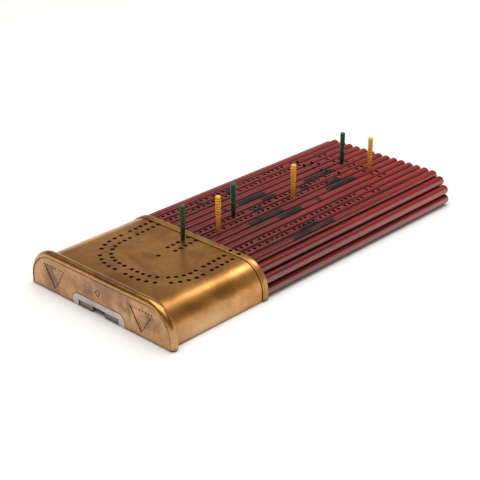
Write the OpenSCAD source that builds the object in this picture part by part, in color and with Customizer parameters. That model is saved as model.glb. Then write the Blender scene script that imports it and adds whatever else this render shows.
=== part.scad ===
// Cribbage board in the form of a flattened shot shell: a brass head with a rolled rim,
// a ribbed body of round rods, a peg drawer in the head's end face and six pegs.
// Millimetres. Origin at the middle of the underside, +X from the brass rim to the
// rod ends, +Z up. The rim's front face is at x = -board_length / 2.

/* [Board] */
// Length from the rim's front face to the rod ends
board_length = 324; // [310:1:360]
// Thickness of the panel under the body
base_thickness = 3; // [2:0.5:4]

/* [Rods] */
// Diameter of each rod
rod_diameter = 7.9; // [7.4:0.1:7.9]
// Distance between the middles of neighbouring rods
rod_pitch = 8; // [8:0.5:8.5]
// Height of the middle of the flat row of rods
rod_row_height = 23.1; // [23:0.1:24]
// Radius of the arc that the rod middles follow at each side
rod_arc_radius = 15.85; // [15:0.05:16.5]
// Rounding of each rod's free end
rod_end_rounding = 2.4; // [1:0.1:3]

/* [Brass head] */
// Half the width of the brass sleeve
sleeve_half_width = 69.5; // [69:0.1:71]
// Height of the top of the brass sleeve
sleeve_height = 27.4; // [27:0.1:28.5]
// Corner radius of the brass sleeve
sleeve_corner = 21; // [18:0.5:24]
// Thickness of the sleeve's sheet
sleeve_sheet = 1.2; // [1:0.1:1.5]
// Distance from the rim's front to the end of the sleeve
sleeve_end = 91.6; // [90:0.1:92]
// Width of the collar band
collar_width = 5.5; // [5:0.5:7]
// How far the collar stands proud of the sleeve
collar_proud = 0.9; // [0.6:0.1:1.5]
// Radius of the rolled rim's bead
bead_radius = 3.5; // [3:0.1:4]
// Half the width of the line that the bead's middle follows
bead_half_width = 70.7; // [70:0.1:71.5]
// Height of the line that the bead's middle follows
bead_height = 27.2; // [26.5:0.1:28]
// Thickness of the end plate
plate_thickness = 2.2; // [1.5:0.1:3]

/* [Peg holes] */
// Diameter of every peg hole
hole_diameter = 3.2; // [3:0.1:3.4]
// Depth of every peg hole
hole_depth = 7; // [6:0.5:7]
// Spacing of the holes in a group of five
hole_pitch = 5.45; // [5:0.05:5.6]
// Spacing of the groups along a lane
group_pitch = 30; // [29:0.1:30.5]
// Groups along each straight lane
lane_groups = 6; // [4:1:6]

/* [Drawer] */
// Width of the drawer's steel front
drawer_width = 54; // [50:1:58]
// Height of the drawer's steel front
drawer_height = 9.4; // [9:0.1:9.6]
// Length of the tray behind the front
tray_length = 77; // [60:1:80]

/* [Pegs] */
// Height of a seated peg above its surface
peg_height = 28.2; // [20:0.1:32]
// Diameter of the part of the peg that goes into a hole
peg_stem_diameter = 3.1; // [2.9:0.05:3.15]
// Diameter of the peg's head
peg_head_diameter = 4.3; // [3.6:0.1:4.8]
// Ribs turned in the peg's head
peg_ribs = 6; // [3:1:8]

/* [Hidden] */
$fn = 48;
skin = 0.05;                 // clearance between neighbouring pieces
rear = board_length / 2;
front = -rear;
hole_r = hole_diameter / 2;
rod_r = rod_diameter / 2;
flat_rods = 12;              // rods in the flat row
side_rods = 4;               // rods round each side
rod_crest = rod_row_height + rod_r;
row_end = (flat_rods - 1) / 2 * rod_pitch;
arc_y = 49.2;                // middle of the arc that the rods follow at the +Y side
arc_z = rod_row_height - rod_arc_radius;

// Side rods: the first lies one pitch along the chord, the next two along the arc,
// and the last hangs straight below.
first_turn = 10.1;
arc_step = 2 * asin(rod_pitch / 2 / rod_arc_radius);
side_y = arc_y + rod_arc_radius;
third_turn = first_turn + 2 * arc_step;
function on_arc(turn) = [arc_y + rod_arc_radius * sin(turn), arc_z + rod_arc_radius * cos(turn)];
last_drop = sqrt(pow(rod_pitch, 2) - pow(side_y - on_arc(third_turn)[0], 2));
side_path = [
    on_arc(first_turn),
    on_arc(first_turn + arc_step),
    on_arc(third_turn),
    [side_y, on_arc(third_turn)[1] - last_drop]
];
// Middles of all rods as [y, z], numbered from the lowest one on the +Y side
rods = concat(
    [for (i = [side_rods - 1 : -1 : 0]) side_path[i]],
    [for (i = [0 : flat_rods - 1]) [row_end - i * rod_pitch, rod_row_height]],
    [for (i = [0 : side_rods - 1]) [-side_path[i][0], side_path[i][1]]]
);

// Lanes: two rows of holes each, on the crests of neighbouring rods
left_lane = [44, 36];
middle_lane = [4, -4];
right_lane = [-36, -44];
lane_start = 68.8;           // first hole of the left and middle lanes
right_start = 65;            // first hole of the right lane
lane_end = lane_start + (lane_groups - 1) * group_pitch + 4 * hole_pitch;

function in_groups(start, groups, pitch, spacing, y) =
    [for (g = [0 : groups - 1], j = [0 : 4]) [start + g * spacing + j * pitch, y]];

lane_holes = concat(
    [for (y = concat(left_lane, middle_lane))
        each in_groups(lane_start, lane_groups, hole_pitch, group_pitch, y)],
    [for (y = right_lane) each in_groups(right_start, lane_groups, hole_pitch, group_pitch, y)]
);

// A turn joins two lanes: straight, quarter arc, straight, quarter arc, straight.
// corner is the middle of the first arc as [x, y], half the half-gap between the arcs,
// way -1 turns towards -X and +1 towards +X.
function turn_point(s, lead, radius, corner, half, way) =
    let (quarter = PI * radius / 2,
         cross = 2 * half,
         a = (s - lead) / radius * 180 / PI,
         b = (s - lead - quarter - cross) / radius * 180 / PI)
    s < lead ? [corner[0] - way * (lead - s), corner[1] + radius] :
    s < lead + quarter ? [corner[0] + way * radius * sin(a), corner[1] + radius * cos(a)] :
    s < lead + quarter + cross ?
        [corner[0] + way * radius, corner[1] - (s - lead - quarter)] :
    s < lead + 2 * quarter + cross ?
        [corner[0] + way * radius * cos(b), corner[1] - cross - radius * sin(b)] :
    [corner[0] - way * (s - lead - 2 * quarter - cross), corner[1] - cross - radius];

function turn_holes(groups, pitch, gap, start, lead, radius, corner, half, way) =
    [for (g = [0 : groups - 1], j = [0 : 4])
        turn_point(start + g * (4 * pitch + gap) + j * pitch, lead, radius, corner, half, way)];

head_turn_holes = concat(
    turn_holes(4, 6.3, 11, 0, 5, 34, [54, 10], 10, -1),
    turn_holes(4, 5.5, 7.8, 0, 6.8, 26, [54, 10], 10, -1)
);
far_turn_x = 252;
far_lead = far_turn_x - lane_end;
far_turn_holes = concat(
    turn_holes(2, 6.4, 12.2, 12.2, far_lead, 16, [far_turn_x, 28], 8, 1),
    turn_holes(2, 4.9, 7.9, 7.9, far_lead, 8, [far_turn_x, 28], 8, 1)
);

start_holes = [for (x = [251.6, 258.2], y = right_lane) [x, y]];
games_columns = [280.6, 287.4];
games_holes = [for (x = games_columns, i = [1 : 9]) [x, row_end - i * rod_pitch]];
finish_hole = [55.2, 0];

// The holes in the head are drilled off the middle, towards -Y, and most of all near the rim.
furthest_drift = 3.2;
drift_slope = 0.06;
function drift_at(x) = x > sleeve_end ? 0 : min(furthest_drift, 0.8 + (sleeve_end - x) * drift_slope);
function drifted(place) = [place[0], place[1] - drift_at(place[0])];
all_holes = [for (p = concat(lane_holes, head_turn_holes, far_turn_holes, start_holes,
                             games_holes, [finish_hole])) drifted(p)];
collar_end = sleeve_end + collar_width;

// Pegs: [distance from the rim's front, y]
function lane_x(group, j) = lane_start + group * group_pitch + j * hole_pitch;
green_places = [[lane_x(0, 3), 4], [lane_x(2, 2), 4], [games_columns[0], 12]];
yellow_places = [[lane_x(1, 3), -4], [lane_x(4, 2), -4], [games_columns[1], -12]];

// Drawer and the space it runs in
tray_front = 8;
tray_sheet = 1.2;
tray_half = drawer_width / 2 - 3;      // clears the rounded corners of the plate's opening
tray_floor = base_thickness + 0.2;
tray_top = drawer_height - 0.5;
panel_half = 60.5;
panel_front = 8;
panel_rear = board_length - 3;
screw_places = [for (x = [104, 204, 304], y = [-50, 50]) [x, y], [84, 40], [84, -40]];

// ---- shared shapes ----

// Outline with a flat bottom and two rounded top corners, drawn as [y, z]
module arch(half, height, corner, bottom = 0) {
    translate([-half, bottom]) square([2 * half, height - corner - bottom]);
    translate([-half + corner, bottom]) square([2 * (half - corner), height - bottom]);
    intersection() {
        for (side = [-1, 1])
            translate([side * (half - corner), height - corner]) circle(corner, $fn = 96);
        translate([-half - 1, bottom]) square([2 * half + 2, height - bottom + 1]);
    }
}

// Prism along X between two distances from the rim's front, from an outline in [y, z]
module along(from, to) {
    translate([front + from, 0, 0])
        rotate([90, 0, 90])
            linear_extrude(to - from) children();
}

// Upright holes at the given places, cut down from the given height
module drill(places, top, depth) {
    for (p = places)
        translate([front + p[0], p[1], top - depth])
            cylinder(h = depth + 5, r = hole_r, $fn = 24);
}

function between(places, from, to) =
    [for (p = places) if (p[0] > from && p[0] < to) p];
function near_row(places, y) =
    [for (p = places) if (abs(p[1] - y) < rod_r + hole_r) p];

// ---- brass head ----

module head_sleeve() {
    color("#b08d57")
    difference() {
        along(bead_radius * 1.6, sleeve_end)
            difference() {
                arch(sleeve_half_width, sleeve_height, sleeve_corner, 0.3);
                arch(sleeve_half_width - sleeve_sheet, sleeve_height - sleeve_sheet,
                     sleeve_corner - sleeve_sheet, -1);
            }
        drill(between(all_holes, 0, sleeve_end + 2), sleeve_height, 3);
        bead_sweep(0.02);
    }
}

// The bead: a round bar bent along the arch, its two feet rounded on the table
module bead_sweep(grow = 0) {
    r = bead_radius + grow;
    corner = sleeve_corner - 0.5;
    straight = bead_half_width - corner;
    translate([front + bead_radius, 0, 0]) {
        translate([0, straight, bead_height]) rotate([90, 0, 0]) cylinder(h = 2 * straight, r = r);
        for (side = [-1, 1]) {
            translate([0, side * straight, bead_height - corner])
                rotate([0, -90, 0])
                    rotate([0, 0, side > 0 ? 0 : -90])
                        rotate_extrude(angle = 90, $fn = 96)
                            translate([corner, 0]) circle(r);
            translate([0, side * bead_half_width, bead_radius])
                cylinder(h = bead_height - corner - bead_radius, r = r);
            translate([0, side * bead_half_width, bead_radius]) sphere(r);
        }
    }
}

// Arch that the end plate fills, and the seat for it in the bead
plate_half = 71.2;
plate_height = 25.9;
plate_corner = 20.4;
groove = 0.45;               // dark line between the plate and the bead
module rim_bead() {
    color("#b48f58")
    difference() {
        bead_sweep();
        along(-1, plate_thickness + 0.5)
            arch(plate_half + groove, plate_height + groove, plate_corner + groove, -1);
        along(plate_thickness + 0.4, 8)
            arch(sleeve_half_width - 0.8, sleeve_height - 0.8, sleeve_corner - 0.8, -1);
    }
}

mark_line = 1.3;             // width of the marks cut into the plate
// Generic triangle of punched dots with one solid stroke, cut into the end plate
module triangle_mark(middle) {
    depth = 0.5;
    top = 20.5;
    low = 4;
    half = 10.6;
    steps = 7;
    along(0.35, 0.35 + depth) {
        for (i = [0 : steps])
            translate([middle - half + 2 * half * i / steps, top]) circle(mark_line / 2, $fn = 16);
        for (i = [1 : steps - 1])
            translate([middle - half + half * i / steps, top + (low - top) * i / steps])
                circle(mark_line / 2, $fn = 16);
        translate([middle + half, top])
            rotate(-90 - atan(half / (top - low)))
                translate([0, -mark_line / 2]) square([norm([half, top - low]), mark_line]);
    }
}

module end_plate() {
    color("#b3906a")
    difference() {
        along(0.35, 0.35 + plate_thickness)
            arch(plate_half, plate_height, plate_corner, 0.3);
        along(0, 6)
            arch(drawer_width / 2 + 0.4, drawer_height + 0.4, 5.9, -1);
        triangle_mark(46.5);
        triangle_mark(-44);
        along(0, 0.35 + 0.5)
            translate([0, 17.2]) rotate(45) difference() {
                square(4.2, center = true);
                square(2.6, center = true);
            }
    }
}

module head_collar() {
    outer = sleeve_half_width + collar_proud;
    color("#ad8a55")
    difference() {
        along(sleeve_end + 0.5, collar_end)
            arch(outer, sleeve_height + collar_proud, sleeve_corner + collar_proud, 0.3);
        along(sleeve_end - 1, collar_end + 1)
            arch(sleeve_half_width - 0.1, sleeve_height - 0.1, sleeve_corner - 0.1, -1);
        drill(between(all_holes, sleeve_end - hole_diameter, collar_end + hole_r),
              sleeve_height + 1, 3);
    }
}

module head_core() {
    inset = sleeve_sheet + skin;
    color("#8a6a45")
    difference() {
        along(plate_thickness + 0.5, sleeve_end - 0.1)
            arch(sleeve_half_width - inset, sleeve_height - inset, sleeve_corner - inset, 0.3);
        along(-1, tray_front + tray_length + 2)
            translate([-tray_half - 0.4, -1]) square([2 * tray_half + 0.8, tray_top + 1.4]);
        along(-1, tray_front - 0.2)
            arch(drawer_width / 2 + 0.5, drawer_height + 0.5, 5.9, -1);
        along(panel_front - 0.1, board_length)
            translate([-panel_half - 0.1, -1]) square([2 * panel_half + 0.2, base_thickness + 1.1]);
        along(-1, 2 * bead_radius + 0.1)
            difference() {
                arch(80, 40, 20, -1);
                arch(bead_half_width - bead_radius - 0.1, bead_height - bead_radius - 0.1,
                     sleeve_corner - bead_radius - 0.6, -2);
            }
        drill(between(all_holes, 0, sleeve_end + 2), sleeve_height, hole_depth);
        pilot_holes();
    }
}

// ---- peg drawer ----

module drawer_front() {
    color("#c9ccd0")
    difference() {
        along(0.2, 2.4)
            arch(drawer_width / 2, drawer_height, 5.5, 0.2);
        along(0, 0.9)
            translate([-21, 0.9]) square([42, 4.2]);
        along(0, 3)
            translate([-6.6, -1]) square([13.2, 5.8]);
    }
}

module drawer_tray() {
    back = tray_front + tray_length;
    color("#a7abb0")
    difference() {
        along(2.4, back)
            translate([-tray_half, tray_floor]) square([2 * tray_half, tray_top - tray_floor]);
        along(tray_front + tray_sheet, back - tray_sheet)
            translate([-tray_half + tray_sheet, tray_floor + 0.8])
                square([2 * (tray_half - tray_sheet), tray_top]);
        along(0, tray_front)
            translate([-tray_half + tray_sheet, -1])
                square([2 * (tray_half - tray_sheet), tray_top + 5]);
    }
}

// ---- body ----

module pilot_holes() {
    for (p = screw_places)
        translate([front + p[0], p[1], -1]) cylinder(h = 14, r = 1.5, $fn = 24);
}

module base_panel() {
    color("#6d5137")
    difference() {
        along(panel_front, panel_rear)
            translate([-panel_half, 0]) square([2 * panel_half, base_thickness]);
        pilot_holes();
        for (p = screw_places)
            translate([front + p[0], p[1], -0.01])
                cylinder(h = 2.3, r1 = 3.6, r2 = 1.5, $fn = 32);
    }
}

module base_screws() {
    color("#9a9a96")
    for (p = screw_places)
        translate([front + p[0], p[1], 0])
            difference() {
                union() {
                    translate([0, 0, 0.3]) cylinder(h = 1.9, r1 = 3.1, r2 = 1.35, $fn = 32);
                    translate([0, 0, 2.1]) cylinder(h = 9.4, r = 1.35, $fn = 32);
                }
                for (turn = [0, 90])
                    rotate(turn) translate([-1.8, -0.35, 0]) cube([3.6, 0.7, 1.1]);
            }
}

module rod_core() {
    color("#7b2b23")
    difference() {
        along(sleeve_end, board_length - 4)
            arch(side_y - 1, rod_row_height - 1, rod_arc_radius, 0.8);
        for (r = rods)
            along(0, board_length) translate(r) circle(rod_r + skin, $fn = 48);
        along(0, panel_rear + 0.1)
            translate([-panel_half - 0.1, -1]) square([2 * panel_half + 0.2, base_thickness + 1.1]);
        drill(far_turn_holes, rod_crest, hole_depth);
        pilot_holes();
    }
}

// One rod, numbered from 1; its near end butts against the head inside the collar
module rod(number) {
    place = rods[number - 1];
    top = place[1] + rod_r;
    length = board_length - sleeve_end;
    round = rod_end_rounding;
    steps = 6;
    profile = concat(
        [[0, 0], [rod_r, 0]],
        [for (i = [0 : steps])
            [rod_r - round + round * cos(90 * i / steps), length - round + round * sin(90 * i / steps)]],
        [[0, length]]
    );
    color("#9c2f2f")
    difference() {
        translate([front + sleeve_end, place[0], place[1]])
            rotate([0, 90, 0]) rotate_extrude() polygon(profile);
        if (number > side_rods && number <= side_rods + flat_rods)
            drill(between(near_row(all_holes, place[0]), sleeve_end - hole_diameter, board_length),
                  top, hole_depth);
    }
}

// ---- pegs ----

// Half-profile of a peg as [radius, height above the surface]
stem_r = peg_stem_diameter / 2;
head_r = peg_head_diameter / 2;
rib_from = peg_height * 0.47;
rib_to = peg_height - 2.2;
rib_pitch = (rib_to - rib_from) / peg_ribs;
rib_steps = 4;
peg_profile = concat(
    [[0, -hole_depth + 0.4], [stem_r - 0.4, -hole_depth + 0.4], [stem_r, -hole_depth + 1], [stem_r, 1.2],
     [head_r - 0.2, rib_from - 0.8]],
    [for (k = [0 : peg_ribs - 1], i = [0 : rib_steps - 1])
        [head_r - 0.42 * abs(cos(180 * i / rib_steps)), rib_from + (k + i / rib_steps) * rib_pitch]],
    [for (i = [0 : 5])
        [head_r * cos(90 * i / 5), rib_to + 2.2 * sin(90 * i / 5)]]
);

module peg(place, surface) {
    translate([front + place[0], drifted(place)[1], surface])
        rotate_extrude($fn = 32) polygon(peg_profile);
}

function surface_at(place) = place[0] < sleeve_end ? sleeve_height : rod_crest;

module peg_green(i) {
    color("#1f5a33") peg(green_places[i], surface_at(green_places[i]));
}
module peg_yellow(i) {
    color("#e0a020") peg(yellow_places[i], surface_at(yellow_places[i]));
}

head_sleeve();
rim_bead();
end_plate();
head_collar();
head_core();
drawer_front();
drawer_tray();
base_panel();
base_screws();
rod_core();
rod(1);  // rod_01
rod(2);  // rod_02
rod(3);  // rod_03
rod(4);  // rod_04
rod(5);  // rod_05
rod(6);  // rod_06
rod(7);  // rod_07
rod(8);  // rod_08
rod(9);  // rod_09
rod(10);  // rod_10
rod(11);  // rod_11
rod(12);  // rod_12
rod(13);  // rod_13
rod(14);  // rod_14
rod(15);  // rod_15
rod(16);  // rod_16
rod(17);  // rod_17
rod(18);  // rod_18
rod(19);  // rod_19
rod(20);  // rod_20
peg_green(0);  // peg_green_1
peg_green(1);  // peg_green_2
peg_green(2);  // peg_green_3
peg_yellow(0);  // peg_yellow_1
peg_yellow(1);  // peg_yellow_2
peg_yellow(2);  // peg_yellow_3
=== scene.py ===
"""Looks for the shot-shell cribbage board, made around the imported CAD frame. Metres, row frame."""

import math

import bmesh
import bpy
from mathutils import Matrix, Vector


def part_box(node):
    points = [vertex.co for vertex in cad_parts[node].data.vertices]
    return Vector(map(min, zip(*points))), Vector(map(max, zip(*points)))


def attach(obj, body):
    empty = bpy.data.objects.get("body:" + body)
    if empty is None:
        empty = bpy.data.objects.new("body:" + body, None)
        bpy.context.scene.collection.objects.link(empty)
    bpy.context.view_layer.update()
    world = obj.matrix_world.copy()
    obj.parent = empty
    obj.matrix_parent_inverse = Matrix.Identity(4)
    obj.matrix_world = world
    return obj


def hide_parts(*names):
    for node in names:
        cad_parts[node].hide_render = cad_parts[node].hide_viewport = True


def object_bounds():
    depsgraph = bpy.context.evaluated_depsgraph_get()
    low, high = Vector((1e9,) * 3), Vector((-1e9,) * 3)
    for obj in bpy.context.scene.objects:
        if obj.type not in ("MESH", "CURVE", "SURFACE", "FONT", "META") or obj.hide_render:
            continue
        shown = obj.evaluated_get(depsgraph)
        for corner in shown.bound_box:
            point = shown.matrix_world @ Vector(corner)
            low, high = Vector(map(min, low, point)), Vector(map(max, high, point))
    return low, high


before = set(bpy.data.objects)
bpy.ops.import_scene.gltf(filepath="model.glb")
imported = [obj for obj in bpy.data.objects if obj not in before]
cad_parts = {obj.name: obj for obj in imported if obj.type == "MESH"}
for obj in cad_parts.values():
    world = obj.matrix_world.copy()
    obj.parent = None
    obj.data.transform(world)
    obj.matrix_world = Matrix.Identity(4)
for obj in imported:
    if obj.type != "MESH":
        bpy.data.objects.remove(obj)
CAD_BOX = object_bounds()

MM = 0.001
BOARD = "board"
RODS = [f"rod_{i:02d}" for i in range(1, 21)]
GREEN_PEGS = [f"peg_green_{i}" for i in (1, 2, 3)]
YELLOW_PEGS = [f"peg_yellow_{i}" for i in (1, 2, 3)]

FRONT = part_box("rim_bead")[0].x           # the rim's front face
REAR = CAD_BOX[1].x                       # the rods' free ends
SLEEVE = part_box("head_sleeve")
SLEEVE_HALF = SLEEVE[1].y
SLEEVE_TOP = SLEEVE[1].z
SLEEVE_END = SLEEVE[1].x
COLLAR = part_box("head_collar")
ROD_R = (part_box("rod_10")[1].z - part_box("rod_10")[0].z) / 2
HOLE_R = 1.6 * MM


# ---------- camera, floor and light ----------

CAMERA_PLACE = (-0.6186, -0.5631, 0.4027)
CAMERA_AIM = (-0.0272, -0.0076, 0.0133)
CAMERA_LENS = 89.26


def make_camera():
    data = bpy.data.cameras.new("camera")
    data.sensor_width = 36
    data.lens = CAMERA_LENS
    data.clip_start = 0.05
    data.clip_end = 50
    camera = bpy.data.objects.new("camera", data)
    camera.location = CAMERA_PLACE
    aim = Vector(CAMERA_AIM) - Vector(CAMERA_PLACE)
    camera.rotation_euler = aim.to_track_quat("-Z", "Y").to_euler()
    bpy.context.scene.collection.objects.link(camera)
    bpy.context.scene.camera = camera


def softbox(name, place, size, power, colour=(1, 1, 1), aim=(0, 0, 0)):
    data = bpy.data.lights.new(name, "AREA")
    data.shape = "RECTANGLE"
    data.size, data.size_y = size
    data.energy = power
    data.color = colour
    lamp = bpy.data.objects.new(name, data)
    lamp.location = place
    lamp.rotation_euler = (Vector(aim) - Vector(place)).to_track_quat("-Z", "Y").to_euler()
    bpy.context.scene.collection.objects.link(lamp)


def make_lights():
    """A small lamp behind the rods' free ends for the glints, and a wide soft one overhead."""
    softbox("softbox_right", (1.0, -0.04, 1.16), (0.42, 0.42), 2.6)
    softbox("softbox_top", (-0.1, 0.1, 1.8), (2.0, 2.0), 31, (0.95, 0.98, 1.0))


def make_room():
    """A studio room: bright low walls, darker upper walls and a bright ceiling."""
    world = bpy.data.worlds.new("studio")
    bpy.context.scene.world = world
    world.use_nodes = True
    tree = world.node_tree
    background = tree.nodes["Background"]
    where = tree.nodes.new("ShaderNodeTexCoord")
    split = tree.nodes.new("ShaderNodeSeparateXYZ")
    ramp = tree.nodes.new("ShaderNodeValToRGB")
    tree.links.new(where.outputs["Generated"], split.inputs[0])
    tree.links.new(split.outputs["Z"], ramp.inputs[0])
    tree.links.new(ramp.outputs[0], background.inputs["Color"])
    stops = [(0.0, (1.6, 1.6, 1.6)), (0.14, (1.1, 1.09, 1.08)), (0.3, (0.34, 0.27, 0.185)),
             (0.7, (0.24, 0.185, 0.12)), (0.9, (0.7, 0.7, 0.7))]
    elements = ramp.color_ramp.elements
    while len(elements) < len(stops):
        elements.new(0.5)
    for element, (at, colour) in zip(elements, stops):
        element.position = at
        element.color = (*colour, 1)
    background.inputs["Strength"].default_value = 1.0


# ---------- material building ----------

# Sockets of a Mix node that mixes colours
MIX_FACTOR = 0
MIX_FIRST = 6
MIX_SECOND = 7
MIX_RESULT = 2


class Surface:
    """A Principled material, with short calls for the nodes that feed it."""

    def __init__(self, name, **sockets):
        self.material = bpy.data.materials.new(name)
        self.material.use_nodes = True
        self.tree = self.material.node_tree
        self.shader = self.tree.nodes["Principled BSDF"]
        self.where = self.tree.nodes.new("ShaderNodeTexCoord")
        for socket, value in sockets.items():
            self.shader.inputs[socket.replace("_", " ")].default_value = value

    def set(self, socket, source):
        self.tree.links.new(source, self.shader.inputs[socket])
        return self

    def node(self, kind, inputs=None, **settings):
        made = self.tree.nodes.new(kind)
        for name, value in settings.items():
            setattr(made, name, value)
        for key, value in (inputs or {}).items():
            if isinstance(value, bpy.types.NodeSocket):
                self.tree.links.new(value, made.inputs[key])
            else:
                made.inputs[key].default_value = value
        return made

    def place(self, scale=(1, 1, 1), shift=(0, 0, 0)):
        mapping = self.node("ShaderNodeMapping", {"Vector": self.where.outputs["Object"],
                                                  "Scale": scale, "Location": shift})
        return mapping.outputs[0]

    def noise(self, scale, detail=4.0, rough=0.55, stretch=(1, 1, 1), shift=(0, 0, 0), warp=0.0):
        made = self.node("ShaderNodeTexNoise", {"Vector": self.place(stretch, shift), "Scale": scale,
                                                "Detail": detail, "Roughness": rough,
                                                "Distortion": warp})
        return made.outputs["Fac"]

    def ramp(self, source, stops):
        made = self.node("ShaderNodeValToRGB", {"Fac": source})
        elements = made.color_ramp.elements
        while len(elements) < len(stops):
            elements.new(0.5)
        for element, (at, colour) in zip(elements, stops):
            element.position = at
            if isinstance(colour, (int, float)):
                colour = (colour, colour, colour)
            element.color = (*colour, 1)
        return made.outputs["Color"]

    def mix(self, amount, first, second, blend="MIX"):
        made = self.node("ShaderNodeMix", data_type="RGBA", blend_type=blend, clamp_factor=True)
        sockets = (MIX_FACTOR, amount), (MIX_FIRST, first), (MIX_SECOND, second)
        for key, value in sockets:
            if isinstance(value, bpy.types.NodeSocket):
                self.tree.links.new(value, made.inputs[key])
            elif isinstance(value, (int, float)):
                made.inputs[key].default_value = value
            else:
                made.inputs[key].default_value = (*value, 1)
        return made.outputs[MIX_RESULT]

    def math(self, operation, first, second=0.0, clamp=False):
        made = self.node("ShaderNodeMath", {0: first, 1: second}, operation=operation, use_clamp=clamp)
        return made.outputs[0]

    def axis(self, name):
        split = self.node("ShaderNodeSeparateXYZ", {0: self.where.outputs["Object"]})
        return split.outputs[name]

    def rise(self, name, start, length):
        """0 up to start, then rising to 1 over length, along an axis; a negative length runs backwards."""
        past = self.math("SUBTRACT", self.axis(name), start)
        return self.math("MULTIPLY", past, 1 / length, clamp=True)

    def facing(self, name):
        geometry = self.node("ShaderNodeNewGeometry")
        split = self.node("ShaderNodeSeparateXYZ", {0: geometry.outputs["Normal"]})
        return split.outputs[name]

    def attribute(self, name):
        return self.node("ShaderNodeAttribute", attribute_name=name).outputs["Fac"]

    def rounded(self, radius):
        return self.node("ShaderNodeBevel", {"Radius": radius}, samples=6).outputs[0]

    def occlusion(self, distance):
        made = self.node("ShaderNodeAmbientOcclusion", {"Distance": distance}, samples=8)
        return made.outputs["AO"]

    def bump(self, height, distance, strength=1.0, below=None):
        inputs = {"Height": height, "Distance": distance, "Strength": strength}
        if below is not None:
            inputs["Normal"] = below
        return self.node("ShaderNodeBump", inputs).outputs[0]


# Along the head, from the rim's front: where the painted sheen of the upright sides fades out, and where
# the patina shade behind the rim ends
SIDE_SHEEN_FADE_START = 45 * MM
SIDE_SHEEN_FADE_LENGTH = 50 * MM
RIM_SHADE_END = 30 * MM
RIM_SHADE_LENGTH = 22 * MM


def brass(name, gold, brown, stain, rough, side_sheen=None, shade=0.0, edge=0.0, spots=()):
    """Antique brass: lacquered gold with brown patina, stains in recesses and fine rubbing marks.

    side_sheen is the paler colour painted on the upright sides, a painted reflection of the bright floor,
    which fades out to the rear, where the sides are painted darker as painted shade; shade is how much the
    patina gathers behind the rim. spots are tarnished patches: (place, radius, colour).
    """
    s = Surface(name, Metallic=1.0, Coat_Weight=0.18, Coat_Roughness=0.35)
    cloud = s.noise(26, 5, 0.6, warp=0.6)
    blotch = s.noise(95, 4, 0.6, shift=(0.2, 0.1, 0.3), warp=0.8)
    speck = s.noise(260, 4, 0.65)
    tone = s.ramp(cloud, [(0.36, brown), (0.5, gold), (0.68, tuple(c * 1.2 for c in gold))])
    tone = s.mix(s.ramp(blotch, [(0.48, 0.0), (0.68, 0.55)]), tone, brown)
    # Painted reflection: the upright sides are painted paler, fading out to the rear, where they are painted
    # darker as painted shade
    if side_sheen:
        rear = s.rise("X", FRONT + SIDE_SHEEN_FADE_START, SIDE_SHEEN_FADE_LENGTH)
        upright = s.ramp(s.facing("Z"), [(0.08, 0.85), (0.5, 0.0)])
        tone = s.mix(s.math("MULTIPLY", upright, s.math("SUBTRACT", 1.0, rear)), tone, side_sheen)
        tone = s.mix(s.math("MULTIPLY", upright, s.math("MULTIPLY", rear, 0.45)), tone, brown)
    if shade:
        near = s.rise("X", FRONT + RIM_SHADE_END, -RIM_SHADE_LENGTH)
        tone = s.mix(s.math("MULTIPLY", near, shade), tone, tuple(c * 0.8 for c in brown))
    for place, radius, colour in spots:
        away = s.node("ShaderNodeVectorMath", {0: s.where.outputs["Object"], 1: place},
                      operation="DISTANCE")
        depth = s.math("SUBTRACT", radius, away.outputs["Value"])
        inside = s.math("MULTIPLY", depth, 1.6 / radius, clamp=True)
        amount = s.math("MULTIPLY", inside, s.ramp(blotch, [(0.38, 0.15), (0.6, 0.75)]))
        tone = s.mix(amount, tone, colour)
    tone = s.mix(s.ramp(speck, [(0.5, 0.0), (0.75, 0.5)]), tone, brown)
    recess = s.ramp(s.occlusion(4 * MM), [(0.35, 0.9), (0.85, 0.0)])
    tone = s.mix(recess, tone, stain)
    rub = s.noise(900, 3, 0.6, stretch=(0.25, 1.6, 1.6))
    grain = s.noise(2600, 2, 0.5)
    wave = s.noise(38, 2, 0.4)
    s.set("Base Color", tone)
    s.set("Roughness", s.math("ADD", s.math("MULTIPLY", blotch, 0.16), rough - 0.08))
    normal = s.bump(wave, 1.1 * MM, 0.35, s.rounded(edge) if edge else None)
    normal = s.bump(rub, 0.05 * MM, 0.35, normal)
    s.set("Normal", s.bump(grain, 0.03 * MM, 0.4, normal))
    return s.material


DEEP_RED = (0.09, 0.005, 0.006)
LACQUER_RED = (0.19, 0.011, 0.01)
WORN_RED = (0.27, 0.024, 0.018)
SIDE_SHEEN_RED = (0.24, 0.07, 0.066)      # painted on the rods' sides, a painted reflection of the bright floor
GROOVE_WASH_AND_SHADE = (0.016, 0.002, 0.002)
DASH_INK = (0.01, 0.013, 0.01)
FAR_START = -20 * MM                 # the rods are painted brighter from here to their free ends, a painted sheen
FAR_LENGTH = 180 * MM
DASH_RAGGED = 16 * MM                # how far a dash's ends wander
DASH_FADE = 1.6 * MM                 # how softly they end


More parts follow.
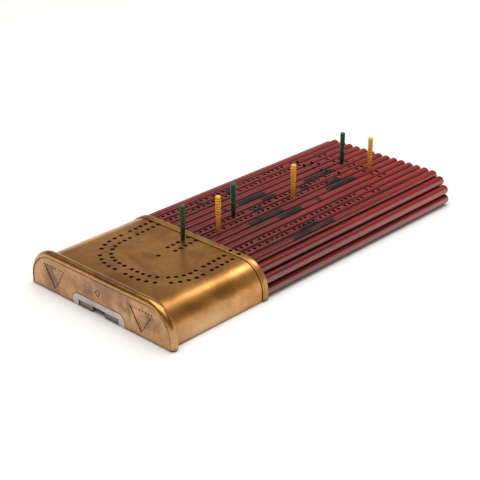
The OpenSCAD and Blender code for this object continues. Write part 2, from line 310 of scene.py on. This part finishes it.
def red_rod(name, dashes=(), rough=0.33):
    """Red lacquer over wood, dark wash and painted shade in the grooves, painted sheen on the sides and
    towards the free ends; dashes are worn dark bands (from, to) in X.
    """
    s = Surface(name)
    grain = s.noise(220, 5, 0.6, stretch=(0.06, 1, 1))
    cloud = s.noise(34, 4, 0.6, stretch=(0.4, 1, 1), warp=0.5)
    tone = s.ramp(grain, [(0.3, DEEP_RED), (0.6, LACQUER_RED), (0.85, WORN_RED)])
    tone = s.mix(s.ramp(cloud, [(0.35, 0.55), (0.62, 0.0)]), tone, DEEP_RED)
    open_sky = s.occlusion(6 * MM)
    # Painted reflection: the sides of the rods are painted paler, as the bright floor would light them
    tone = s.mix(s.ramp(s.facing("Z"), [(0.5, 0.6), (0.65, 0.0)]), tone, SIDE_SHEEN_RED)
    # Painted sheen: the colour grows brighter towards the rods' free ends
    far_sheen = s.rise("X", FAR_START, FAR_LENGTH)
    tone = s.mix(far_sheen, tone, s.mix(1.0, tone, (1.7, 1.7, 1.7), "MULTIPLY"))
    # Painted shade between the rods, partly a dark wash in the grooves: the colour turns near black where
    # the rods close round a point
    tone = s.mix(s.ramp(open_sky, [(0.36, 0.97), (0.86, 0.0)]), tone, GROOVE_WASH_AND_SHADE)
    shine = s.ramp(s.facing("Z"), [(0.3, 0.7), (0.62, 0.24)])
    if dashes:
        worn = None
        ragged = s.noise(420, 3, 0.7, stretch=(0.07, 1, 1), shift=(0.3, 0.2, 0.1))
        along = s.math("ADD", s.axis("X"), s.math("MULTIPLY", ragged, DASH_RAGGED))
        for start, end in dashes:
            middle = (start + end) / 2 + DASH_RAGGED / 2
            away = s.math("ABSOLUTE", s.math("SUBTRACT", along, middle))
            inside = s.math("SUBTRACT", (end - start) / 2, away)
            band = s.math("MULTIPLY", inside, 1 / DASH_FADE, clamp=True)
            worn = band if worn is None else s.math("MAXIMUM", worn, band)
        patchy = s.ramp(s.noise(260, 5, 0.75, stretch=(0.2, 1, 1), warp=0.5), [(0.34, 0.4), (0.5, 1.0)])
        crest = s.ramp(s.facing("Z"), [(0.45, 0.0), (0.72, 1.0)])
        worn = s.math("MULTIPLY", s.math("MULTIPLY", worn, patchy), crest)
        tone = s.mix(worn, tone, DASH_INK)
        shine = s.math("SUBTRACT", shine, s.math("MULTIPLY", worn, 0.14))
    s.set("Specular IOR Level", shine)
    s.set("Base Color", tone)
    s.set("Roughness", s.math("ADD", s.math("MULTIPLY", cloud, 0.2), rough - 0.1))
    normal = s.bump(grain, 0.12 * MM, 0.5)
    s.set("Normal", s.bump(s.noise(60, 2, 0.5, stretch=(0.5, 1, 1)), 0.7 * MM, 0.3, normal))
    return s.material


def bare_wood(name, light, dark, rough=0.6):
    s = Surface(name)
    grain = s.noise(90, 6, 0.65, stretch=(0.08, 1, 1), warp=0.8)
    pore = s.noise(900, 3, 0.6, stretch=(0.05, 1, 1))
    tone = s.ramp(grain, [(0.3, dark), (0.7, light)])
    s.set("Base Color", s.mix(s.ramp(pore, [(0.5, 0.0), (0.7, 0.5)]), tone, dark))
    s.set("Roughness", s.math("ADD", s.math("MULTIPLY", grain, 0.15), rough - 0.08))
    s.set("Normal", s.bump(pore, 0.08 * MM, 0.4))
    return s.material


def cast_steel(name, light, dark, rough, sunk=None, shadow=2.5 * MM):
    """Cast steel with brushing marks.

    Faces behind X = sunk are painted darker as painted shade, and recesses narrower than shadow get dark
    painted shade.
    """
    s = Surface(name, Metallic=0.85)
    cloud = s.noise(120, 5, 0.65)
    brushed = s.noise(700, 3, 0.6, stretch=(1, 0.06, 1))
    tone = s.ramp(cloud, [(0.32, dark), (0.65, light)])
    if sunk:
        # Painted shade on the sunk faces
        sunk_shade = s.math("GREATER_THAN", s.axis("X"), sunk)
        tone = s.mix(sunk_shade, tone, (dark[0] * 0.6, dark[1] * 0.52, dark[2] * 0.48))
    # Painted shade in the recesses
    recess = s.ramp(s.occlusion(shadow), [(0.3, 0.9), (0.8, 0.0)])
    s.set("Base Color", s.mix(recess, tone, tuple(c * 0.15 for c in dark)))
    s.set("Roughness", s.math("ADD", s.math("MULTIPLY", cloud, 0.2), rough - 0.1))
    normal = s.bump(cloud, 0.3 * MM, 0.5, s.rounded(0.35 * MM))
    s.set("Normal", s.bump(brushed, 0.04 * MM, 0.5, normal))
    return s.material


TOP_LIGHT_LENGTH = 28 * MM                # a peg is painted paler over this height above the head, a painted highlight towards its top


def turned_plastic(name, light, dark, rough):
    """Turned plastic with swirls and turning marks, painted shade in its grooves and painted paler towards
    the top as painted light.
    """
    s = Surface(name, Coat_Weight=0.12, Coat_Roughness=0.15, Subsurface_Weight=0.1,
                Subsurface_Scale=0.0015)
    s.shader.inputs["Subsurface Radius"].default_value = (1.0, 0.6, 0.3)
    s.shader.inputs["Specular IOR Level"].default_value = 0.3
    swirl = s.noise(420, 4, 0.6, stretch=(1, 1, 0.35), warp=1.2)
    rings = s.noise(1500, 2, 0.5, stretch=(0.05, 0.05, 1))
    # Painted light: the peg's colour is painted paler towards its top
    up = s.rise("Z", SLEEVE_TOP, TOP_LIGHT_LENGTH)
    amount = s.math("ADD", s.math("MULTIPLY", swirl, 0.5), s.math("MULTIPLY", up, 0.7))
    tone = s.ramp(amount, [(0.25, dark), (0.85, light)])
    # Painted shade in the grooves between the ribs, from the groove depth stored on the peg
    groove = s.ramp(s.attribute("groove"), [(0.35, 0.0), (0.8, 0.9)])
    s.set("Base Color", s.mix(groove, tone, tuple(c * 0.3 for c in dark)))
    s.set("Roughness", s.math("ADD", s.math("MULTIPLY", swirl, 0.12), rough - 0.06))
    s.set("Normal", s.bump(rings, 0.05 * MM, 0.4))
    return s.material


def hole_shade_wall(name, colour):
    """The dark wall of a peg hole, painted shade inside the hole."""
    s = Surface(name)
    s.shader.inputs["Specular IOR Level"].default_value = 0.1
    hole_mottle = s.noise(1400, 3, 0.6)
    s.set("Base Color", s.ramp(hole_mottle, [(0.3, tuple(c * 0.4 for c in colour)), (0.7, colour)]))
    s.set("Roughness", s.math("ADD", s.math("MULTIPLY", hole_mottle, 0.2), 0.7))
    s.set("Normal", s.bump(hole_mottle, 0.05 * MM, 0.5))
    return s.material


def chipped_glinting_red(name):
    """Broken lacquer at a hole's edge: pale flecks, partly wood where it has flaked and partly a painted
    highlight on the rim; dark red elsewhere.
    """
    s = Surface(name)
    s.shader.inputs["Specular IOR Level"].default_value = 0.3
    flake_and_glint = s.noise(520, 3, 0.6, warp=0.5)
    fibre = s.noise(1800, 2, 0.5, stretch=(0.1, 1, 1))
    # Pale flecks: partly lacquer flaked to the wood, partly a painted highlight on the hole's rim
    tone = s.ramp(flake_and_glint, [(0.48, (0.05, 0.006, 0.006)), (0.58, (0.6, 0.32, 0.29))])
    s.set("Base Color", s.mix(s.ramp(fibre, [(0.45, 0.0), (0.7, 0.4)]), tone, (0.1, 0.02, 0.02)))
    s.set("Roughness", s.math("ADD", s.math("MULTIPLY", fibre, 0.2), 0.45))
    s.set("Normal", s.bump(fibre, 0.05 * MM, 0.5))
    return s.material


def floor_paper():
    s = Surface("floor_paper", Roughness=0.85)
    s.shader.inputs["Specular IOR Level"].default_value = 0.1
    fibre = s.noise(40, 3, 0.5)
    s.set("Base Color", s.ramp(fibre, [(0.2, 0.93), (0.8, 0.96)]))
    return s.material


def paint(node, material):
    """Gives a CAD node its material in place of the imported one."""
    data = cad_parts[node].data
    data.materials.clear()
    data.materials.append(material)


# ---------- mesh building ----------

def closed_mesh(name, verts, faces):
    """A mesh with all its faces turned outwards."""
    mesh = bpy.data.meshes.new(name)
    mesh.from_pydata([tuple(v) for v in verts], [], faces)
    work = bmesh.new()
    work.from_mesh(mesh)
    bmesh.ops.recalc_face_normals(work, faces=work.faces)
    work.to_mesh(mesh)
    work.free()
    return mesh


def piece(name, verts, faces, material, smooth_angle=40, body=BOARD):
    mesh = closed_mesh(name, verts, faces)
    mesh.materials.append(material)
    mesh.shade_smooth()
    mesh.set_sharp_from_angle(angle=math.radians(smooth_angle))
    made = bpy.data.objects.new(name, mesh)
    bpy.context.scene.collection.objects.link(made)
    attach(made, body)
    return made


# An arch is (half width, height, corner radius), open at the bottom. All arches are walked with
# the same number of steps, so that any two of them can be joined into a surface.
STRAIGHT_STEPS = 6
CORNER_STEPS = 24
TOP_STEPS = 10
FOOT_RINGS = 6
FOOT_ROUND = 1.8 * MM

SLEEVE_ARCH = (SLEEVE_HALF, SLEEVE_TOP, 21 * MM)
BEAD_R = 3.5 * MM
BEAD_LINE = (CAD_BOX[1].y - BEAD_R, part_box("rim_bead")[1].z - BEAD_R, 20.5 * MM)
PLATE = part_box("end_plate")
PLATE_ARCH = (PLATE[1].y, PLATE[1].z, 20.4 * MM)


def grown(arch, out):
    return tuple(value + out for value in arch)


def arch_walk(arch):
    """Points (y, z) from the foot at -Y over the top to the foot at +Y."""
    half, height, corner = arch
    side = []
    low = height - corner
    for i in range(FOOT_RINGS):
        side.append((half, FOOT_ROUND * i / FOOT_RINGS))
    for i in range(STRAIGHT_STEPS):
        side.append((half, FOOT_ROUND + (low - FOOT_ROUND) * i / STRAIGHT_STEPS))
    for i in range(CORNER_STEPS):
        turn = math.pi / 2 * i / CORNER_STEPS
        side.append((half - corner + corner * math.cos(turn), low + corner * math.sin(turn)))
    top = [((half - corner) * (1 - 2 * i / TOP_STEPS), height) for i in range(TOP_STEPS + 1)]
    walk = side + top + [(-y, z) for y, z in reversed(side)]
    return [(-y, z) for y, z in walk]


def arch_loft(sections, pinch=None):
    """Closed tube round the arch: sections are (distance from the rim's front, arch).

    pinch is (distance, half width) of the line that the feet are rounded towards.
    """
    walks = [arch_walk(arch) for _, arch in sections]
    count = len(walks[0])
    verts = []
    for step in range(count):
        for (x, _), walk in zip(sections, walks):
            y, z = walk[step]
            px = x
            if pinch and z < FOOT_ROUND:
                keep = 1 - 0.3 * (1 - math.sqrt(1 - (1 - z / FOOT_ROUND) ** 2))
                px = pinch[0] + (x - pinch[0]) * keep
                y = math.copysign(pinch[1] + (abs(y) - pinch[1]) * keep, y)
            verts.append((FRONT + px, y, max(z, 0.0)))
    wide = len(sections)
    faces = []
    for step in range(count - 1):
        for k in range(wide):
            a = step * wide + k
            b = step * wide + (k + 1) % wide
            faces.append((a, b, b + wide, a + wide))
    faces.append(tuple(range(wide)))
    faces.append(tuple((count - 1) * wide + k for k in range(wide)))
    return verts, faces


SEAT_GAP = 0.45 * MM                 # the dark line between the end plate and the rim
SEAT_DEPTH = 2.6 * MM
LIP = 0.55 * MM                      # width of the flat lip between the seat and the bead
UNDER_SLEEVE = 0.3 * MM              # how far the rim's inner edges lie under the sleeve's surface
# The hollow from the bead to the sleeve: mm from the rim's front, and mm above the sleeve
HOLLOW = [(7.0, 0.95), (7.5, 0.45), (8.2, 0.15), (9.0, 0.02)]


def rim_sections():
    """Round the rim: the seat of the end plate, a thin lip, the bead, and a hollow to the sleeve."""
    seat = grown(PLATE_ARCH, SEAT_GAP)
    sections = [
        (SEAT_DEPTH, grown(SLEEVE_ARCH, -UNDER_SLEEVE)),
        (SEAT_DEPTH, seat),
        (0.3 * MM, seat),
        (0.05 * MM, grown(seat, 0.12 * MM)),
        (0.05 * MM, grown(seat, LIP - 0.1 * MM)),
        (0.3 * MM, grown(seat, LIP)),
    ]
    bead_steps = 22
    first, last = 5, 172
    for i in range(bead_steps + 1):
        a = math.radians(first + (last - first) * i / bead_steps)
        out = BEAD_R * math.sin(a)
        x = BEAD_R * (1 - math.cos(a))
        half = BEAD_LINE[0] + out
        if a < math.pi / 2:
            half = max(half, seat[0] + LIP + 0.03 * MM * (i + 1))
        height = BEAD_LINE[1] + out
        corner = BEAD_LINE[2] + out
        if x > 5 * MM and out < 1.6 * MM:
            break
        sections.append((max(x, 0.12 * MM), (half, height, corner)))
    sections += [(x * MM, grown(SLEEVE_ARCH, out * MM)) for x, out in HOLLOW]
    sections.append((5.6 * MM, grown(SLEEVE_ARCH, -0.02 * MM)))
    sections.append((5.5 * MM, grown(SLEEVE_ARCH, -UNDER_SLEEVE)))
    return sections


def make_rim(material):
    pinch = (BEAD_R, BEAD_LINE[0])
    verts, faces = arch_loft(rim_sections(), pinch)
    rim = piece("rolled_rim", verts, faces, material, 60)
    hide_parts("rim_bead")


def settle(obj):
    """Applies an object's modifiers to its mesh."""
    bpy.context.view_layer.update()
    seen = obj.evaluated_get(bpy.context.evaluated_depsgraph_get())
    mesh = bpy.data.meshes.new_from_object(seen)
    obj.modifiers.clear()
    obj.data = mesh


def drill_at(x, y, reach=3 * MM, steps=32):
    """An upright cylinder through the head's top, as wide as a peg hole."""
    verts = []
    for i in range(steps):
        a = 2 * math.pi * i / steps
        for z in (SLEEVE_TOP - reach, SLEEVE_TOP + reach):
            verts.append((x + HOLE_R * math.cos(a), y + HOLE_R * math.sin(a), z))
    faces = []
    for i in range(steps):
        j = (i + 1) % steps
        faces.append((2 * i, 2 * j, 2 * j + 1, 2 * i + 1))
    faces.append(tuple(2 * i for i in range(steps)))
    faces.append(tuple(2 * i + 1 for i in reversed(range(steps))))
    drill = bpy.data.objects.new("drill", closed_mesh("drill", verts, faces))
    bpy.context.scene.collection.objects.link(drill)
    return drill


# Half-section of the collar with its turned groove: (mm from its front, part of its full height)
COLLAR_SHAPE = [(0.0, -0.1), (0.0, 0.4), (0.1, 0.7), (0.3, 0.93), (0.6, 1.0), (1.1, 1.0), (1.35, 0.9),
                (1.5, 0.55), (1.65, 0.45), (1.8, 0.55), (1.95, 0.88), (2.2, 0.98), (2.5, 1.0),
                (4.7, 1.0), (5.1, 0.95), (5.35, 0.75), (5.5, 0.4), (5.5, -0.1)]


def make_collar(material, holes):
    start = COLLAR[0].x - FRONT
    proud = COLLAR[1].z - SLEEVE_TOP
    sections = [(start + x * MM, grown(SLEEVE_ARCH, out * proud)) for x, out in COLLAR_SHAPE]
    verts, faces = arch_loft(sections)
    collar = piece("collar_band", verts, faces, material, 50)
    drills = [drill_at(x, y) for x, y in holes]
    for drill in drills:
        cut = collar.modifiers.new("hole", "BOOLEAN")
        cut.object = drill
        cut.operation = "DIFFERENCE"
    settle(collar)
    for drill in drills:
        bpy.data.objects.remove(drill)
    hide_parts("head_collar")


# ---------- peg holes ----------

def hole_axes(node):
    """Axes (x, y) of the upright peg holes in a CAD node, with how many wall faces each has."""
    found = {}
    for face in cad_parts[node].data.polygons:
        if abs(face.normal.z) > 0.02 or face.center.z < SLEEVE_TOP - 9 * MM:
            continue
        axis = face.center + face.normal * HOLE_R
        for known in found:
            if (known[0] - axis.x) ** 2 + (known[1] - axis.y) ** 2 < (0.5 * MM) ** 2:
                found[known].append(axis)
                break
        else:
            found[(axis.x, axis.y)] = [axis]
    return {(sum(p.x for p in hits) / len(hits), sum(p.y for p in hits) / len(hits)): len(hits)
            for hits in found.values()}


def all_holes(nodes, fewest=8):
    merged = []
    for node in nodes:
        for (x, y), count in hole_axes(node).items():
            for entry in merged:
                if (entry[0] - x) ** 2 + (entry[1] - y) ** 2 < (0.6 * MM) ** 2:
                    entry[2] += count
                    break
            else:
                merged.append([x, y, count])
    last = REAR - 20 * MM
    return sorted((round(x, 5), round(y, 5)) for x, y, count in merged if count >= fewest and x < last)


def rod_lines():
    """Middles (y, z) of the rods."""
    lines = []
    for rod in RODS:
        low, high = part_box(rod)
        lines.append(((low.y + high.y) / 2, (low.z + high.z) / 2))
    return lines


def ring_mesh(holes, surface, profile, steps=20):
    """Closed rings round the holes. profile is a loop of (radius, height above the surface)."""
    verts, faces = [], []
    wide = len(profile)
    for x, y in holes:
        base = len(verts)
        for i in range(steps):
            a = 2 * math.pi * i / steps
            for radius, up in profile:
                px = x + radius * MM * math.cos(a)
                py = y + radius * MM * math.sin(a)
                verts.append((px, py, surface(px, py) + up * MM))
        for i in range(steps):
            for k in range(wide):
                p = base + i * wide
                q = base + (i + 1) % steps * wide
                n = (k + 1) % wide
                faces.append((p + k, q + k, q + n, p + n))
    return verts, faces


# Rings round a peg hole: (radius, height above the surface), in mm
WORN_EDGE = [(1.95, -0.03), (1.86, 0.03), (1.72, 0.03), (1.62, -0.02), (1.6, -0.15), (1.7, -0.3)]
CHIPPED_EDGE = [(1.84, -0.05), (1.76, 0.05), (1.67, 0.04), (1.6, -0.02), (1.6, -0.3), (1.75, -0.4)]
HOLE_WALL = [(1.58, -0.12), (1.58, -6.5), (1.64, -6.5), (1.64, -0.12)]
PEG_NEAR = 1 * MM                    # a hole whose axis is this close to a peg's holds that peg
FIRST_DRILLED, LAST_DRILLED = 5, 16  # numbers of the rods that have peg holes
TOP_ROD = 10                         # a rod of the flat row


def make_hole_edges():
    """Worn edges round every peg hole, on the rods pale in part as a painted highlight, and a dark wall in
    it, painted shade, where no peg stands in it.
    """
    lines = rod_lines()

    def head_surface(x, y):
        return SLEEVE_TOP

    def rod_surface(x, y):
        tops = [z + math.sqrt(ROD_R ** 2 - (y - line) ** 2)
                for line, z in lines if abs(y - line) < ROD_R]
        return max(tops) if tops else lines[TOP_ROD - 1][1]

    head = [h for h in all_holes(["head_sleeve"]) if h[0] < SLEEVE_END - 2 * MM]
    drilled = RODS[FIRST_DRILLED - 1:LAST_DRILLED]
    body = [h for h in all_holes(drilled) if h[0] > COLLAR[1].x + HOLE_R]
    pegs = [(low + high) / 2 for low, high in map(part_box, GREEN_PEGS + YELLOW_PEGS)]

    def free(holes):
        return [h for h in holes if all(math.hypot(h[0] - p.x, h[1] - p.y) > PEG_NEAR for p in pegs)]

    band = [h for h in all_holes(["head_collar"])
            if COLLAR[0].x + HOLE_R < h[0] < COLLAR[1].x - HOLE_R]

    def band_surface(x, y):
        return COLLAR[1].z

    stained = brass("stained_brass", (0.24, 0.12, 0.05), (0.1, 0.05, 0.025), (0.03, 0.015, 0.01), 0.4)
    verts, faces = ring_mesh(head, head_surface, WORN_EDGE)
    piece("head_hole_edges", verts, faces, stained)
    verts, faces = ring_mesh(body, rod_surface, CHIPPED_EDGE)
    piece("rod_hole_edges", verts, faces, chipped_glinting_red("chipped_glinting_red"))
    # Painted shade: dark walls inside the free holes of the head and collar
    verts, faces = ring_mesh(free(head), head_surface, HOLE_WALL)
    more_verts, more_faces = ring_mesh(band, band_surface, HOLE_WALL)
    faces += [tuple(len(verts) + corner for corner in face) for face in more_faces]
    verts += more_verts
    piece("head_hole_walls", verts, faces, hole_shade_wall("head_hole_shade", (0.03, 0.013, 0.008)))
    # Painted shade: dark walls inside the free holes of the rods
    verts, faces = ring_mesh(free(body), rod_surface, HOLE_WALL)
    piece("rod_hole_walls", verts, faces, hole_shade_wall("rod_hole_shade", (0.012, 0.006, 0.006)))


# Stars punched into the head where the tracks pause: (mm from the rim's front, mm to the side, radius)
STARS = [(33.4, 28.5, 2.0), (67.9, 41.8, 2.0), (24.8, -1.9, 2.0), (31.2, -32.2, 2.0),
         (59.9, -42.6, 2.0), (64.6, -3.6, 2.0), (48.5, 1.6, 3.6)]


def make_stars():
    """Punched stars: short bars with sloping flanks, a hair above the sleeve so that they read as marks."""
    verts, faces = [], []
    for x, y, radius in STARS:
        rays = 6 if radius < 3 else 11
        for i in range(rays):
            a = 2 * math.pi * i / rays + 0.3
            along = Vector((math.cos(a), math.sin(a), 0))
            across = Vector((-along.y, along.x, 0))
            middle = Vector((FRONT + x * MM, y * MM, SLEEVE_TOP))
            base = len(verts)
            for width, up in ((0.24, -0.05), (0.12, 0.05)):
                for reach, turn in ((0.35, -1), (1.0, -1), (1.0, 1), (0.35, 1)):
                    spot = middle + along * (radius * reach * MM) + across * (turn * width * MM)
                    verts.append(spot + Vector((0, 0, up * MM)))
            faces += [(base + 3, base + 2, base + 1, base), (base + 4, base + 5, base + 6, base + 7)]
            faces += [(base + k, base + (k + 1) % 4, base + 4 + (k + 1) % 4, base + 4 + k) for k in range(4)]
    dark = brass("mark_brass", (0.16, 0.09, 0.045), (0.07, 0.04, 0.022), (0.02, 0.01, 0.008), 0.45)
    piece("head_stars", verts, faces, dark, 20)


# ---------- the board ----------

# Worn dashes on the rods: rod number, and where each dash runs, in mm from the rim's front
DASHES = {
    17: [(141, 192)],
    16: [(158, 181)],
    13: [(161, 192), (207, 213)],
    12: [(139, 177), (229, 267)],
    11: [(237, 257)],
    10: [(158, 170), (214, 226)],
    9: [(178, 196), (229, 266)],
    8: [(141, 148), (159, 192)],
    5: [(138, 144), (170, 184)],
}


def make_board():
    patches = [(Vector((FRONT + x * MM, y * MM, SLEEVE_TOP)), radius * MM, (0.33, 0.145, 0.04))
               for x, y, radius in ((50, 1, 9), (24, 14, 15), (76, -20, 12), (80, 26, 13))]
    head_brass = brass("head_brass", (0.62, 0.315, 0.085), (0.38, 0.165, 0.038), (0.05, 0.025, 0.012), 0.32,
                       side_sheen=(0.58, 0.375, 0.19), shade=0.6, spots=patches)
    # The rim's brass is painted darker than the head's: painted shade for the dark band reflected on the
    # bead's front
    rim_brass_shaded = brass("rim_brass_shaded", (0.42, 0.2, 0.05), (0.22, 0.09, 0.022), (0.05, 0.025, 0.012), 0.27,
                      side_sheen=(0.52, 0.32, 0.14))
    collar_brass = brass("collar_brass", (0.56, 0.29, 0.085), (0.34, 0.15, 0.04), (0.04, 0.02, 0.01), 0.32,
                         side_sheen=(0.54, 0.33, 0.15))
    tarnished = [(Vector((FRONT, y * MM, z * MM)), radius * MM, (0.17, 0.09, 0.07))
                 for y, z, radius in ((50, 14, 13), (-50, 13, 13), (10, 17, 12), (-28, 19, 9))]
    plate_brass = brass("plate_brass", (0.5, 0.285, 0.125), (0.3, 0.145, 0.08), (0.04, 0.022, 0.015), 0.42,
                        edge=0.3 * MM, spots=tarnished)
    paint("head_sleeve", head_brass)
    paint("end_plate", plate_brass)
    paint("head_core", bare_wood("core_wood", (0.09, 0.05, 0.025), (0.03, 0.015, 0.008)))
    paint("base_panel", bare_wood("panel_wood", (0.13, 0.075, 0.04), (0.05, 0.026, 0.014)))
    paint("base_screws", cast_steel("screw_steel", (0.5, 0.5, 0.48), (0.28, 0.28, 0.27), 0.35))
    paint("rod_core", bare_wood("core_stain", (0.07, 0.012, 0.01), (0.02, 0.004, 0.004), 0.5))
    make_rim(rim_brass_shaded)
    make_collar(collar_brass, all_holes(["head_collar"]))

    plain_red = red_rod("red_rod")
    for number, rod in enumerate(RODS, 1):
        spans = [(FRONT + a * MM, FRONT + b * MM) for a, b in DASHES.get(number, [])]
        paint(rod, red_rod(f"red_rod_{number:02d}", spans) if spans else plain_red)
    make_hole_edges()
    make_stars()


def make_drawer():
    # The sunk panel of the front gets painted shade
    paint("drawer_front", cast_steel("front_steel", (0.6, 0.56, 0.51), (0.4, 0.36, 0.33), 0.36,
                                     sunk=FRONT + 0.7 * MM))
    # The tray inside the drawer is painted dark over a wide reach: painted shade
    paint("drawer_tray", cast_steel("tray_steel", (0.4, 0.4, 0.4), (0.25, 0.25, 0.25), 0.4, shadow=9 * MM))


# A peg, in mm. Heights are above the surface that it stands in.
PEG_HEIGHT = 28.2
PEG_DEPTH = 6.6
STEM_R = 1.55
NECK_R = 1.5
HEAD_R = 2.15
RIBS = 6
RIB_FROM = 13.25
RIB_TO = 25.6
TAPER_FROM = 1.2
TAPER_LENGTH = 11.2
TAPER_R = 1.95       # at the top of the taper
DOME_FROM = 26.5


def peg_profile():
    """Half-profile (radius, height above the surface) in mm, from the tip in the hole to the top."""
    line = [(0.0, -PEG_DEPTH), (1.1, -PEG_DEPTH), (1.42, -6.35), (STEM_R, -6.0), (STEM_R, TAPER_FROM)]
    taper = 6
    for i in range(1, taper + 1):
        line.append((STEM_R + (TAPER_R - STEM_R) * i / taper, TAPER_FROM + TAPER_LENGTH * i / taper))
    rib_steps = 10
    pitch = (RIB_TO - RIB_FROM) / RIBS
    for rib in range(RIBS):
        for i in range(rib_steps):
            swell = math.sin(math.pi * i / rib_steps) ** 0.6
            line.append((NECK_R + (HEAD_R - NECK_R) * swell, RIB_FROM + (rib + i / rib_steps) * pitch))
    line.append((NECK_R, RIB_TO))
    for turn in range(-30, 90, 12):
        a = math.radians(turn)
        line.append((HEAD_R * math.cos(a), DOME_FROM + (PEG_HEIGHT - DOME_FROM) * math.sin(a)))
    line.append((0.0, PEG_HEIGHT))
    return line


def turned_peg(node, body, material):
    low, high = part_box(node)
    x, y = (low.x + high.x) / 2, (low.y + high.y) / 2
    surface = high.z - PEG_HEIGHT * MM
    line = peg_profile()
    steps = 36
    verts = [(x, y, surface + line[0][1] * MM), (x, y, surface + line[-1][1] * MM)]
    rings = line[1:-1]
    for radius, up in rings:
        for i in range(steps):
            a = 2 * math.pi * i / steps
            verts.append((x + radius * MM * math.cos(a), y + radius * MM * math.sin(a), surface + up * MM))
    faces = []
    last = 2 + (len(rings) - 1) * steps
    for i in range(steps):
        j = (i + 1) % steps
        faces.append((0, 2 + j, 2 + i))
        faces.append((1, last + i, last + j))
        for k in range(len(rings) - 1):
            row = 2 + k * steps
            faces.append((row + i, row + j, row + steps + j, row + steps + i))
    turned = piece(f"{node}_turned", verts, faces, material, 50, body)
    # The depth of each groove, which the plastic turns into painted shade
    depth = turned.data.attributes.new("groove", "FLOAT", "POINT")
    for k, (radius, up) in enumerate(rings):
        for i in range(steps):
            ribbed = RIB_FROM - 0.5 < up < RIB_TO + 0.5
            depth.data[2 + k * steps + i].value = (HEAD_R - radius) / (HEAD_R - NECK_R) if ribbed else 0.0
    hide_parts(node)


def make_pegs():
    green = turned_plastic("green_plastic", (0.009, 0.09, 0.033), (0.0015, 0.014, 0.006), 0.3)
    yellow = turned_plastic("yellow_plastic", (0.95, 0.45, 0.025), (0.42, 0.13, 0.008), 0.3)
    for number, (green_node, yellow_node) in enumerate(zip(GREEN_PEGS, YELLOW_PEGS), 1):
        turned_peg(green_node, f"green_peg_{number}", green)
        turned_peg(yellow_node, f"yellow_peg_{number}", yellow)


FLOOR_HALF = 6.0
FLOOR_DROP = 0.05 * MM               # keeps the floor clear of the board's flat underside


def make_floor():
    corners = [(-1, -1), (1, -1), (1, 1), (-1, 1)]
    mesh = bpy.data.meshes.new("floor")
    mesh.from_pydata([(x * FLOOR_HALF, y * FLOOR_HALF, -FLOOR_DROP) for x, y in corners], [],
                     [(0, 1, 2, 3)])
    mesh.materials.append(floor_paper())
    floor = bpy.data.objects.new("floor", mesh)
    bpy.context.scene.collection.objects.link(floor)


bpy.context.scene.view_settings.view_transform = "Standard"
make_camera()
make_room()
make_floor()
make_lights()
make_board()
make_drawer()
make_pegs()
